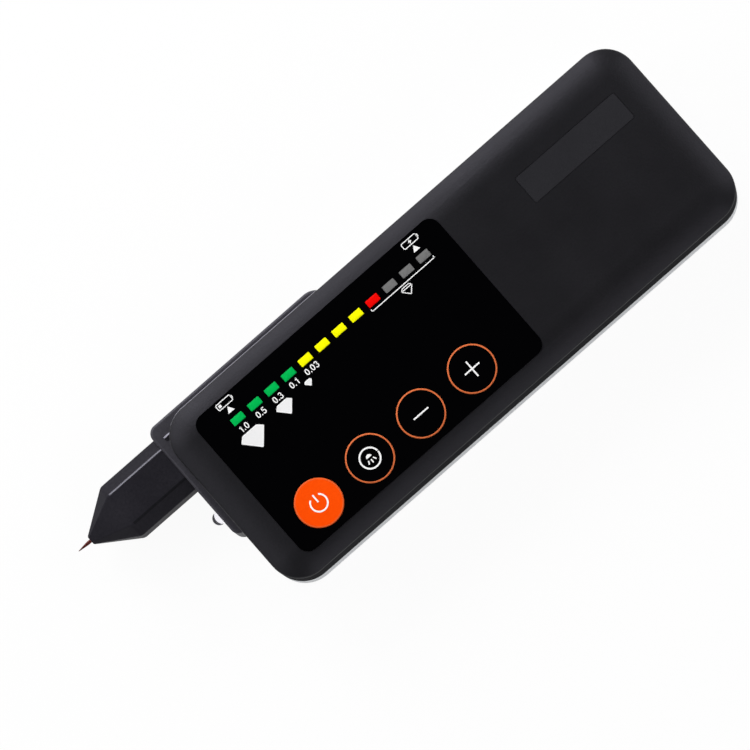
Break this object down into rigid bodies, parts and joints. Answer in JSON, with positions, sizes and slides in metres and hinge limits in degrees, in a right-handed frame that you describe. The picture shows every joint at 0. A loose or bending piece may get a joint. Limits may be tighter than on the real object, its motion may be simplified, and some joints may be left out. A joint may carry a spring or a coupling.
{
  "type": "gemstone conductivity tester",
  "caption": "Handheld gemstone tester with a sprung probe tip in a chamfered nose, a row of indicator lights, push buttons, an ultraviolet lamp and a charging socket.",
  "frame": {"origin": "middle of the body's flat rear face", "axes": "+X along the body to the charging end, +Y to the probe side, +Z out of the front face"},
  "size_m": [0.1557, 0.0468, 0.0222],
  "materials": {
    "shell_black": "fine moulded texture",
    "rear_silver": "satin anodised",
    "housing_black": "fine moulded texture",
    "panel_gloss": "polished",
    "panel_film": "adhesive film",
    "label_blank": "satin",
    "nose_black": "satin moulded",
    "guide_brass": "drawn",
    "tip_copper": "turned, oxidised",
    "spring_steel": "drawn wire",
    "screw_steel": "zinc plated",
    "nylon_white": "moulded",
    "heater_ceramic": "fired",
    "lead_red": "insulated wire",
    "lead_black": "insulated wire",
    "lead_tin": "tinned",
    "lamp_clear": "clear epoxy",
    "board_green": "solder mask",
    "board_blue": "solder mask",
    "mask_black": "moulded",
    "chip_light": "moulded",
    "window_green": "tinted, lit",
    "window_yellow": "tinted, lit",
    "window_red": "tinted, lit",
    "window_grey": "tinted, unlit",
    "switch_black": "moulded",
    "button_orange": "printed",
    "button_black": "polished, printed ring",
    "chip_black": "moulded",
    "passive_tan": "fired",
    "connector_ivory": "moulded",
    "socket_steel": "stamped",
    "tongue_black": "moulded",
    "cell_foil": "foil pouch",
    "pad_foam": "foam"
  },
  "bodies": {
    "tester": {"front_shell": "shell_black", "rear_shell": "rear_silver", "probe_housing": "housing_black", "display_panel": "panel_gloss", "panel_adhesive": "panel_film", "name_label": "label_blank", "nose_cone": "nose_black", "nose_ring_nut": "screw_steel", "probe_guide_tube": "guide_brass", "probe_end_cap": "nylon_white", "probe_spring": "spring_steel", "probe_leads": "lead_red", "uv_lamp": "lamp_clear", "uv_lamp_leads": "lead_tin", "main_board": "board_green", "light_mask": "mask_black", "indicator_chips": "chip_light", "green_windows": "window_green", "yellow_windows": "window_yellow", "red_window": "window_red", "grey_windows": "window_grey", "key_switches": "switch_black", "controller_chip": "chip_black", "buzzer": "chip_black", "small_components": "passive_tan", "battery_connector": "connector_ivory", "charge_board": "board_blue", "charge_chip": "chip_black", "socket_shell": "socket_steel", "socket_tongue": "tongue_black", "battery_cell": "cell_foil", "battery_pad": "pad_foam", "battery_leads": "lead_red", "supply_leads": "lead_black", "case_screws": "screw_steel", "board_screws": "screw_steel"},
    "power_key": {"power_button": "button_orange", "power_plunger": "nylon_white"},
    "uv_key": {"uv_button": "button_black", "uv_plunger": "nylon_white"},
    "minus_key": {"minus_button": "button_black", "minus_plunger": "nylon_white"},
    "plus_key": {"plus_button": "button_black", "plus_plunger": "nylon_white"},
    "probe": {"probe_tip": "tip_copper", "probe_carrier": "nylon_white", "heater_bead": "heater_ceramic"}
  },
  "joints": [
    {"name": "power_press", "type": "slide", "parent": "tester", "child": "power_key", "axis": [0, 0, -1], "range_m": [0, 0.0003], "stiffness_N_per_m": 400},
    {"name": "uv_press", "type": "slide", "parent": "tester", "child": "uv_key", "axis": [0, 0, -1], "range_m": [0, 0.0003], "stiffness_N_per_m": 400},
    {"name": "minus_press", "type": "slide", "parent": "tester", "child": "minus_key", "axis": [0, 0, -1], "range_m": [0, 0.0003], "stiffness_N_per_m": 400},
    {"name": "plus_press", "type": "slide", "parent": "tester", "child": "plus_key", "axis": [0, 0, -1], "range_m": [0, 0.0003], "stiffness_N_per_m": 400},
    {"name": "probe_retract", "type": "slide", "parent": "tester", "child": "probe", "axis": [1, 0, 0], "range_m": [0, 0.0015], "stiffness_N_per_m": 300, "deforming": ["probe_spring"]}
  ]
}
